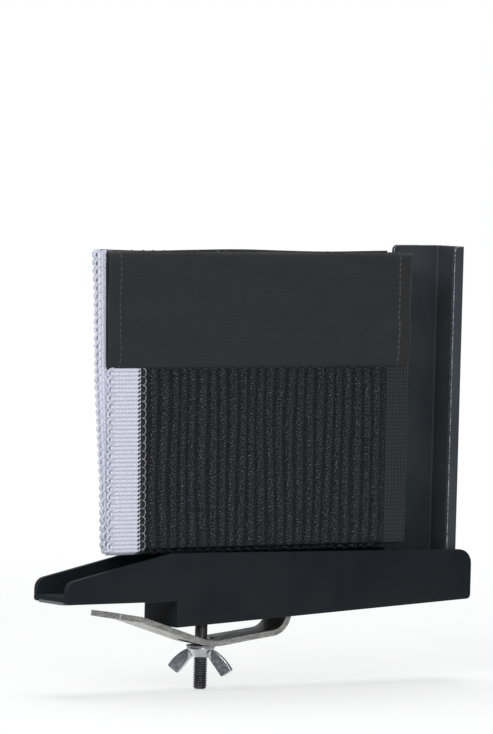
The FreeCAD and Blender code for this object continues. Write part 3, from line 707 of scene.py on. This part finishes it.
# %% The zigzag of the folded net
layers = 14
tape_low, tape_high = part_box("net_top_tape")
mesh_low, mesh_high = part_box("net_mesh")
hem_low, hem_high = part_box("net_bottom_tape")
tape_thick = 1.5 * MM
net_width = hem_high.x - tape_low.x
layer_pitch = (tape_high.y - tape_low.y - tape_thick) / (layers - 1)
front_y = tape_low.y + tape_thick / 2
fold_low = tape_low.z + tape_thick / 2
fold_high = tape_high.z - tape_thick / 2
sleeve_length = 50 * MM
turn_steps = 8
layer_steps = 24
fold_marks = [0.0, 1.0, 1.12, 1.56, 2, 3, 4, 5, 6, 7, 8, 9, 10, 11, 12, 13, 14]
tape_slips = [-3.6, -1.5, -3.6, -8.3, -10.5, 0, -4, 1.5, -1, 4.2, 1.5, 6.4, 4, 8.8, 6, 10.6, 7]
hem_slips = [-1.2, -0.8, -0.6, 0.4, 1.2, -0.5, 1.8, 0.5, 2.4, 1, 2.8, 1.5, 3, 2, 3, 2.2, 2.8]
top_drops = [0.6, 2.6, 1.0, 3.4, 1.6, 2.8]
bottom_lifts = [-0.1, -1.2, -0.6, -1.4, -0.8, -1.1, -0.1]


def layer_ends(layer):
    """Heights where a layer starts and stops, from the front layer's top onward."""
    bottom = fold_low + layer_pitch / 2 + bottom_lifts[layer // 2] * MM
    if layer in (0, layers - 1):
        top = fold_high - sleeve_length
    else:
        top = fold_high - layer_pitch / 2 - top_drops[(layer - 1) // 2] * MM
    return (top, bottom) if layer % 2 == 0 else (bottom, top)


def zigzag():
    """Points down the middle of the cloth: run, y, z, the way it faces, fold mark."""
    points = []
    run = 0.0
    half = layer_pitch / 2
    for layer in range(layers):
        y = front_y + layer * layer_pitch
        start, finish = layer_ends(layer)
        way = -1 if layer % 2 == 0 else 1
        if layer:
            for step in range(1, turn_steps):
                angle = math.pi * step / turn_steps
                points.append((run + half * angle, y - half - half * math.cos(angle),
                               start - way * half * math.sin(angle),
                               -way * math.cos(angle), math.sin(angle), layer))
            run += half * math.pi
        for step in range(layer_steps + 1):
            share = step / layer_steps
            points.append((run + abs(finish - start) * share, y, start + (finish - start) * share,
                           way, 0.0, layer + share))
        run += abs(finish - start)
    return np.array(points, dtype=float)


line = zigzag()
cloth_run = float(line[-1, 0])
print("cloth between the sleeves: %.0f mm in %d layers" % (cloth_run / MM, layers))

# %% [markdown]
# Every point of the cloth has two numbers: how far it is across the net from the top
# edge, and how far along the run. One function turns these, and a lift off the cloth's
# middle, into a place in space.

# %% Place on the cloth
def cloth_points(across, run, lift):
    """Places for arrays of distance across, run along and lift along the cloth's facing."""
    y, z, face_y, face_z, mark = (np.interp(run, line[:, 0], line[:, k]) for k in range(1, 6))
    tape_slip = np.interp(mark, fold_marks, tape_slips) * MM
    hem_slip = np.interp(mark, fold_marks, hem_slips) * MM
    x = tape_low.x + across + tape_slip + (hem_slip - tape_slip) * across / net_width
    return np.stack([x, y + face_y * lift, z + face_z * lift], axis=-1)


outer_step = 4 * MM
inner_step = 12 * MM


def cloth_rows(close, wide):
    """Runs for a grid's rows: close in the front and rear layer, wide in the others."""
    first_end = float(line[line[:, 5] <= 1.0][-1, 0])
    last_start = float(line[line[:, 5] >= layers - 1][0, 0])
    runs = list(np.arange(0.0, first_end, close))
    kept = first_end - wide
    for place, y, z, face_y, face_z, mark in line:
        in_turn = abs(face_z) > 0 or mark == round(mark)
        if first_end <= place <= last_start and (in_turn or place - kept > wide):
            runs.append(place)
            kept = place
    runs += list(np.arange(last_start + close, cloth_run, close)) + [cloth_run]
    return np.unique(np.round(runs, 7))


print("corner of the net:", [round(float(c) / MM, 1) for c in cloth_points(0.0, 0.0, 0.0)])

# %% [markdown]
# A band of cloth is a grid of such points, made thick by a Solidify modifier. A relief function lifts the
# points to make ribs. Each point keeps its place on the flat cloth as a UV in millimetres, so that the
# yarn's pattern follows the cloth round every fold, and its relief as an attribute, so that the finish can
# paint shade into the valleys.

# %% Cloth band
def cloth_band(name, start, width, columns, rows, relief, thick, material):
    """One band of the net: start and width are measured across the net."""
    across, run = np.meshgrid(start + np.linspace(0.0, width, columns), rows)
    lift = relief(across - start, run)
    places = cloth_points(across, run, lift).reshape(-1, 3)
    faces = []
    for low in range(0, (len(rows) - 1) * columns, columns):
        for column in range(columns - 1):
            here = low + column
            faces.append((here, here + columns, here + columns + 1, here + 1))
    mesh = bpy.data.meshes.new(name)
    mesh.from_pydata([tuple(place) for place in places.tolist()], [], faces)
    corners = np.zeros(len(mesh.loops), dtype=np.int32)
    mesh.loops.foreach_get("vertex_index", corners)
    flat = np.stack([(across - start).ravel(), run.ravel()], axis=-1) / MM
    mesh.uv_layers.new(name="cloth").data.foreach_set("uv", flat[corners].ravel())
    mesh.attributes.new("relief", "FLOAT", "POINT").data.foreach_set("value", lift.ravel() / MM)
    mesh.shade_smooth()
    band = add_piece(name, mesh, material, "folded_net")
    solid = band.modifiers.new("thickness", "SOLIDIFY")
    solid.thickness = thick
    solid.offset = 0.0
    print(name, len(mesh.vertices), "points")
    return band


def wander(across, run, fine, coarse):
    """Slow random wandering, from -1 to 1, for arrays of places on the flat cloth."""
    places = zip(np.ravel(across) / fine, np.ravel(run) / coarse)
    values = [noise.noise(Vector((first, second, 0.3))) for first, second in places]
    return np.array(values).reshape(np.shape(across))


# %% [markdown]
# Cloth finishes read that UV. A group makes the loops of a knit or a weave: rounded
# cells at two pitches, in millimetres, with a little fuzz. All the cloths use it with
# their own sizes.

# %% Yarn cells
yarn, yarn_in, yarn_out = new_group(
    "yarn cells", {"Across": 1.0, "Along": 1.0, "Slant": 0.0, "Wobble": 0.3},
    {"Height": "Float", "Fuzz": "Float"})
group = yarn
flat_place = put(group, "ShaderNodeUVMap", {"uv_map": "cloth"}).outputs["UV"]
wobble = calc(group, "SUBTRACT", noise_at(group, 0.35, 2.0, flat_place), 0.5)
flat_parts = put(group, "ShaderNodeSeparateXYZ", Vector=flat_place)
moved_x = calc(group, "MULTIPLY_ADD", wobble, yarn_in["Wobble"], flat_parts.outputs["X"])
across_turns = calc(group, "DIVIDE", moved_x, yarn_in["Across"])
along_turns = calc(group, "DIVIDE", flat_parts.outputs["Y"], yarn_in["Along"])
slanted = calc(group, "MULTIPLY_ADD", across_turns, yarn_in["Slant"], along_turns)
across_wave = calc(group, "ABSOLUTE", calc(group, "SINE", calc(group, "MULTIPLY", across_turns, math.pi)))
along_wave = calc(group, "ABSOLUTE", calc(group, "SINE", calc(group, "MULTIPLY", slanted, math.pi)))
cells = calc(group, "POWER", calc(group, "MULTIPLY", across_wave, along_wave), 0.6)
connect(group, cells, yarn_out["Height"])
connect(group, noise_at(group, 2.0, 3.0, flat_place, 0.75), yarn_out["Fuzz"])
print("group:", yarn.name)


def relief_mask(tree, low, high):
    """0 in the valleys and 1 on the ribs, from the mesh's own relief."""
    stored = put(tree, "ShaderNodeAttribute", {"attribute_name": "relief"})
    return ramp(tree, stored.outputs["Fac"], low, high)


# %% [markdown]
# The mesh is a black knit whose chains of loops stand up as ridges, about 5 mm apart.
# The ridges are geometry, and each wanders a little. The loops on them are cells in the finish, the valleys
# between are painted darker as painted shade, and the yarn has pale specks where single fibres catch the
# light: a painted highlight, stronger on the ridges.

# %% Black knit
mesh_width = mesh_high.x - mesh_low.x
ridge_count = 25
ridge_pitch = mesh_width / ridge_count
ridge_height = 1.0 * MM
ridge_wander = 0.35
knit_edge = 4 * MM
knit_thick = 0.7 * MM


def knit_relief(across, run):
    """Rounded ridges along the net that fade out at the band's two edges."""
    drift = wander(across, run, 12 * MM, 45 * MM)
    wave = np.cos(2 * math.pi * (across / ridge_pitch + ridge_wander * drift))
    edge = np.clip(np.minimum(across, mesh_width - across) / knit_edge, 0.0, 1.0)
    return ridge_height / 2 * wave * edge


def make_black_knit():
    material, tree, shader = start_material("black ribbed knit")
    loops = use_group(tree, yarn, Across=1.7, Along=1.5, Slant=0.5, Wobble=1.6)
    ridge = relief_mask(tree, -0.5, 0.4)
    # Painted highlight: pale specks, stronger on the ridges. Painted shade: darker valleys and gaps between
    # loops.
    painted_glint = ramp(tree, loops["Fuzz"], 0.56, 0.66)
    lit = calc(tree, "MULTIPLY", painted_glint, ramp(tree, ridge, 0.0, 1.0, 0.35, 1.0))
    strands_and_valley_shade = calc(tree, "MULTIPLY", loops["Height"], ramp(tree, ridge, 0.0, 1.0, 0.15, 1.0))
    base = blend_colours(tree, strands_and_valley_shade, (0.002, 0.003, 0.004, 1), (0.012, 0.017, 0.022, 1))
    height = calc(tree, "MULTIPLY_ADD", loops["Fuzz"], 1.2, loops["Height"])
    set_shader(tree, shader,
               Base_Color=blend_colours(tree, lit, base, (0.27, 0.31, 0.34, 1)),
               Roughness=0.8, Sheen_Weight=0.04, Sheen_Roughness=0.5, Specular_IOR_Level=0.18,
               Normal=bumped(tree, height, 1.0, 0.4 * MM))
    return material


net_mesh = cloth_band("net_mesh_cloth", mesh_low.x - tape_low.x, mesh_width, 6 * ridge_count + 1,
                      cloth_rows(outer_step, inner_step), knit_relief, knit_thick,
                      make_black_knit())
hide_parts("net_mesh")

# %% [markdown]
# The white top tape is crocheted: close ribs across it, two to each loop of its edge.
# Toward the mesh its ribs end between dark stitches, which look like a column of dots.
# The ribs are real relief on the two outer layers.

# %% White tape
loop_pitch = 3.5 * MM
rib_pitch = loop_pitch / 2
rib_height = 0.15 * MM
tape_cloth = 0.9 * MM
picot_width = 1.9 * MM
tape_width = mesh_low.x - tape_low.x - picot_width
dots_from = tape_width / MM - 4.2
dots_to = tape_width / MM - 1.6


def tape_relief(across, run):
    """Cross ribs, flatter toward both edges of the tape."""
    edge = np.clip(np.minimum(across, tape_width - across) / (2 * MM) + 0.4, 0.0, 1.0)
    return rib_height * np.sin(2 * math.pi * run / rib_pitch) * edge


def make_white_tape():
    material, tree, shader = start_material("white crocheted tape")
    loops = use_group(tree, yarn, Across=1.5, Along=rib_pitch / MM, Slant=0.5, Wobble=0.5)
    stitches = use_group(tree, yarn, Across=1.5, Along=rib_pitch / MM, Slant=0.5, Wobble=0.2)
    flat = put(tree, "ShaderNodeUVMap", {"uv_map": "cloth"})
    parts = put(tree, "ShaderNodeSeparateXYZ", Vector=flat.outputs["UV"])
    near_mesh = ramp(tree, parts.outputs["X"], dots_from, dots_to, 0.0, 0.75)
    past_dots = ramp(tree, parts.outputs["X"], dots_to, dots_to + 0.6)
    gap = calc(tree, "GREATER_THAN", calc(tree, "ADD", near_mesh, stitches["Height"]), 1.0)
    dark = calc(tree, "MAXIMUM", gap, past_dots)
    # Painted shade: the gaps between stitches and the rib valleys are painted darker.
    stitch_shade = ramp(tree, loops["Height"], 0.0, 1.0, 0.75, 1.0)
    shade = calc(tree, "MULTIPLY", stitch_shade, relief_mask(tree, -0.15, 0.12))
    white = blend_colours(tree, shade, (0.44, 0.45, 0.55, 1), (0.71, 0.72, 0.83, 1))
    height = calc(tree, "MULTIPLY_ADD", loops["Fuzz"], 0.35, loops["Height"])
    set_shader(tree, shader,
               Base_Color=blend_colours(tree, dark, white, (0.012, 0.013, 0.015, 1)),
               Roughness=0.8, Sheen_Weight=0.1, Sheen_Roughness=0.5, Specular_IOR_Level=0.3,
               Normal=bumped(tree, height, 0.8, 0.3 * MM))
    return material


net_tape = cloth_band("net_white_tape", picot_width, tape_width, 15,
                      cloth_rows(rib_pitch / 4, inner_step), tape_relief, tape_cloth,
                      make_white_tape())
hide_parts("net_top_tape")

# %% [markdown]
# The bottom edge is held by a narrow black tape with a flat, tight weave, in which the
# crossings show as rows of small dots.

# %% Black tape
hem_width = hem_high.x - hem_low.x
hem_rim = 1.2 * MM
hem_rise = 0.12 * MM
hem_cloth = 1.0 * MM


def hem_relief(across, run):
    """A slightly thicker rim on both sides of the tape."""
    rim = np.clip(1 - np.minimum(across, hem_width - across) / hem_rim, 0.0, 1.0)
    return hem_rise * rim


def make_black_tape():
    material, tree, shader = start_material("black woven tape")
    weave = use_group(tree, yarn, Across=1.75, Along=1.6, Slant=0.0, Wobble=0.2)
    fine = use_group(tree, yarn, Across=0.6, Along=0.6, Slant=0.5, Wobble=0.2)
    dot = ramp(tree, weave["Height"], 0.72, 0.95)
    tone = calc(tree, "MULTIPLY_ADD", dot, 0.6, calc(tree, "MULTIPLY", fine["Height"], 0.4))
    base = blend_colours(tree, tone, (0.004, 0.005, 0.006, 1), (0.036, 0.044, 0.052, 1))
    # Painted highlight: pale fuzz specks on the raised dots.
    painted_glint = calc(tree, "MULTIPLY", ramp(tree, weave["Fuzz"], 0.55, 0.8), tone)
    height = calc(tree, "MULTIPLY_ADD", fine["Height"], 0.4, weave["Height"])
    set_shader(tree, shader,
               Base_Color=blend_colours(tree, painted_glint, base, (0.15, 0.16, 0.17, 1)),
               Roughness=0.75, Sheen_Weight=0.08, Sheen_Roughness=0.5, Specular_IOR_Level=0.3,
               Normal=bumped(tree, height, 0.8, 0.3 * MM))
    return material


net_hem = cloth_band("net_black_tape", hem_low.x - tape_low.x, hem_width, 15,
                     cloth_rows(outer_step, inner_step), hem_relief, hem_cloth,
                     make_black_tape())
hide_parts("net_bottom_tape")

# %% [markdown]
# The white tape's free edge is a row of fat little yarn loops, the crochet's picots, and
# a thin pale thread is stitched along the join with the mesh. Each is one cord that runs
# along the zigzag and swings out and back. A small swing along the net as well turns the
# wave into narrow round loops. A curve with a round bevel makes a cord.

# %% Yarn loops
points_per_loop = 14


def make_yarn(name, colour_low, colour_high):
    material, tree, shader = start_material(name)
    place = object_place(tree)
    twist = put(tree, "ShaderNodeTexWave", {"wave_type": "BANDS", "bands_direction": "DIAGONAL"},
                Vector=place, Scale=450.0, Distortion=1.5)
    tone = calc(tree, "MULTIPLY", twist.outputs["Fac"], noise_at(tree, 2500.0, 3.0, place))
    set_shader(tree, shader,
               Base_Color=blend_colours(tree, tone, colour_low, colour_high),
               Roughness=0.8, Sheen_Weight=0.1, Sheen_Roughness=0.5, Specular_IOR_Level=0.3,
               Normal=bumped(tree, tone, 0.6, 0.1 * MM))
    return material


def loop_cord(name, edge, reach, swing, pitch, thick, material, lift):
    """A cord of loops: edge and reach are measured across the net, swing along it."""
    count = int(cloth_run / pitch)
    phase = np.arange(count * points_per_loop + 1) * 2 * math.pi / points_per_loop
    run = np.clip(pitch * phase / (2 * math.pi) - swing * np.sin(phase), 0.0, cloth_run)
    places = cloth_points(edge + reach * (1 - np.cos(phase)) / 2, run, lift + thick / 4 * np.sin(phase))
    curve = bpy.data.curves.new(name, "CURVE")
    curve.dimensions = "3D"
    curve.bevel_depth = thick / 2
    curve.bevel_resolution = 1
    curve.use_fill_caps = True
    spline = curve.splines.new("POLY")
    spline.points.add(len(places) - 1)
    spline.points.foreach_set("co", np.hstack([places, np.ones((len(places), 1))]).ravel())
    cord = add_piece(name, curve, material, "folded_net")
    print(name, count, "loops")
    return cord


white_yarn = make_yarn("white yarn", (0.46, 0.47, 0.56, 1), (0.80, 0.81, 0.88, 1))
grey_yarn = make_yarn("grey yarn", (0.12, 0.12, 0.13, 1), (0.50, 0.50, 0.54, 1))
loop_swing = 0.75 * MM
picot_thick = 1.15 * MM
picot_root = 3.3 * MM
picot_lift = 0.25 * MM
stitch_inset = 0.9 * MM
stitch_reach = 1.6 * MM
stitch_thick = 0.45 * MM
stitch_lift = 0.55 * MM
edge_loops = loop_cord("net_edge_loops", picot_root, picot_thick / 2 - picot_root, loop_swing,
                       loop_pitch, picot_thick, white_yarn, picot_lift)
join_stitch = loop_cord("net_join_stitch", picot_width + tape_width - stitch_inset, stitch_reach,
                        loop_swing, loop_pitch, stitch_thick, grey_yarn, stitch_lift)

# %% [markdown]
# Each end of the net is a sleeve: a tube of thin cloth that slides down over the post.
# Folded away it lies flat and creased. It is a flattened ring of points carried across
# the net, open at both ends, where a sewn hem makes it thicker. Sharp creases come from
# noise folded at zero: its absolute value has a valley wherever the noise changes sign.

# %% Sleeves
sleeve_low, sleeve_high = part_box("net_end_sleeves")
sleeve_thick = 1.5 * MM
sleeve_cloth_thick = 0.4 * MM
sleeve_width = sleeve_high.x - sleeve_low.x
sleeve_columns = 110
sleeve_steps = 36
sewn_hem = 7 * MM
sewn_rise = 0.35 * MM
long_creases = 2.6
short_creases = 1.0
sleeve_sag = 1.2 * MM


def make_sleeve_cloth():
    material, tree, shader = start_material("black sleeve cloth")
    weave = use_group(tree, yarn, Across=0.55, Along=0.55, Slant=0.0, Wobble=0.1)
    flat = put(tree, "ShaderNodeUVMap", {"uv_map": "cloth"})
    parts = put(tree, "ShaderNodeSeparateXYZ", Vector=flat.outputs["UV"])
    seam = calc(tree, "COMPARE", calc(tree, "PINGPONG", parts.outputs["X"], sleeve_width / MM / 2),
                sewn_hem / MM - 1.0, 0.28)
    dash = calc(tree, "LESS_THAN", calc(tree, "FRACT", calc(tree, "DIVIDE", parts.outputs["Y"], 2.6)), 0.62)
    thread = calc(tree, "MULTIPLY", seam, dash)
    cloth = blend_colours(tree, weave["Height"], (0.008, 0.009, 0.010, 1), (0.026, 0.028, 0.031, 1))
    fuzzy = blend_colours(tree, ramp(tree, weave["Fuzz"], 0.55, 0.85), cloth, (0.07, 0.075, 0.08, 1))
    height = calc(tree, "MULTIPLY_ADD", thread, 1.5, weave["Height"])
    set_shader(tree, shader,
               Base_Color=blend_colours(tree, thread, fuzzy, (0.06, 0.064, 0.068, 1)),
               Roughness=0.75, Sheen_Weight=0.12, Sheen_Roughness=0.4, Specular_IOR_Level=0.3,
               Normal=bumped(tree, height, 0.6, 0.12 * MM))
    return material


sleeve_cloth = make_sleeve_cloth()


def crease(u, v, seed):
    """Height of the creases at a place on a sleeve, in millimetres."""
    long_fold = abs(noise.noise(Vector((u * 16 + v * 22, v * 34 - u * 5, seed))))
    short_fold = abs(noise.noise(Vector((u * 48 - v * 40, v * 70, seed + 5))))
    return long_creases * long_fold + short_creases * short_fold


def make_sleeve(name, centre_y, outward, low_mark, top_mark):
    """One flat sleeve: outward is -1 on the front and 1 on the rear."""
    half = (sleeve_thick - sleeve_cloth_thick) / 2 * 0.8
    height = sleeve_high.z - sleeve_low.z
    ring = [(-1, step / sleeve_steps) for step in range(sleeve_steps + 1)]
    ring += [(1, 1 - step / sleeve_steps) for step in range(sleeve_steps + 1)]
    vertices = []
    flats = []
    for column in range(sleeve_columns + 1):
        u = sleeve_width * column / sleeve_columns
        hem = sewn_rise if min(u, sleeve_width - u) < sewn_hem else 0.0
        for index, (side, share) in enumerate(ring):
            v = height * share
            soft_edge = math.sqrt(max(0.0, 1 - abs(2 * share - 1) ** 8))
            fold = (crease(u, v, centre_y / MM) * MM + hem) * soft_edge if side == outward else 0.0
            tape_slip = low_mark[0] + (top_mark[0] - low_mark[0]) * share
            hem_slip = low_mark[1] + (top_mark[1] - low_mark[1]) * share
            slip = (tape_slip + (hem_slip - tape_slip) * u / sleeve_width) * MM
            sag = sleeve_sag * abs(noise.noise(Vector((u * 20, 1.7, centre_y / MM)))) * share
            vertices.append((sleeve_low.x + u + slip, centre_y + half * soft_edge * side + outward * fold,
                             sleeve_low.z + v - sag))
            flats.append((u / MM, (v if side < 0 else 2 * height - v) / MM))
    faces = []
    count = len(ring)
    for here in range(0, sleeve_columns * count, count):
        for index in range(count):
            after = (index + 1) % count
            faces.append((here + index, here + after, here + count + after, here + count + index))
    mesh = bpy.data.meshes.new(name)
    mesh.from_pydata(vertices, [], faces)
    uv = mesh.uv_layers.new(name="cloth")
    uv.data.foreach_set("uv", [value for loop in mesh.loops for value in flats[loop.vertex_index]])
    mesh.shade_smooth()
    sleeve = add_piece(name, mesh, sleeve_cloth, "folded_net")
    solid = sleeve.modifiers.new("thickness", "SOLIDIFY")
    solid.thickness = sleeve_cloth_thick
    solid.offset = 0.0
    return sleeve


rear_y = front_y + (layers - 1) * layer_pitch
front_lean = (tape_slips[0] - tape_slips[1]) * sleeve_length / (fold_high - sleeve_length - fold_low)
front_sleeve = make_sleeve("net_sleeve_front", front_y, -1, (tape_slips[0], hem_slips[0]),
                           (tape_slips[0] + front_lean, hem_slips[0]))
make_sleeve("net_sleeve_rear", rear_y, 1, (tape_slips[-1], hem_slips[-1]),
            (tape_slips[-1], hem_slips[-1]))
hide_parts("net_end_sleeves")
print("sleeves %.0f mm wide" % (sleeve_length / MM))
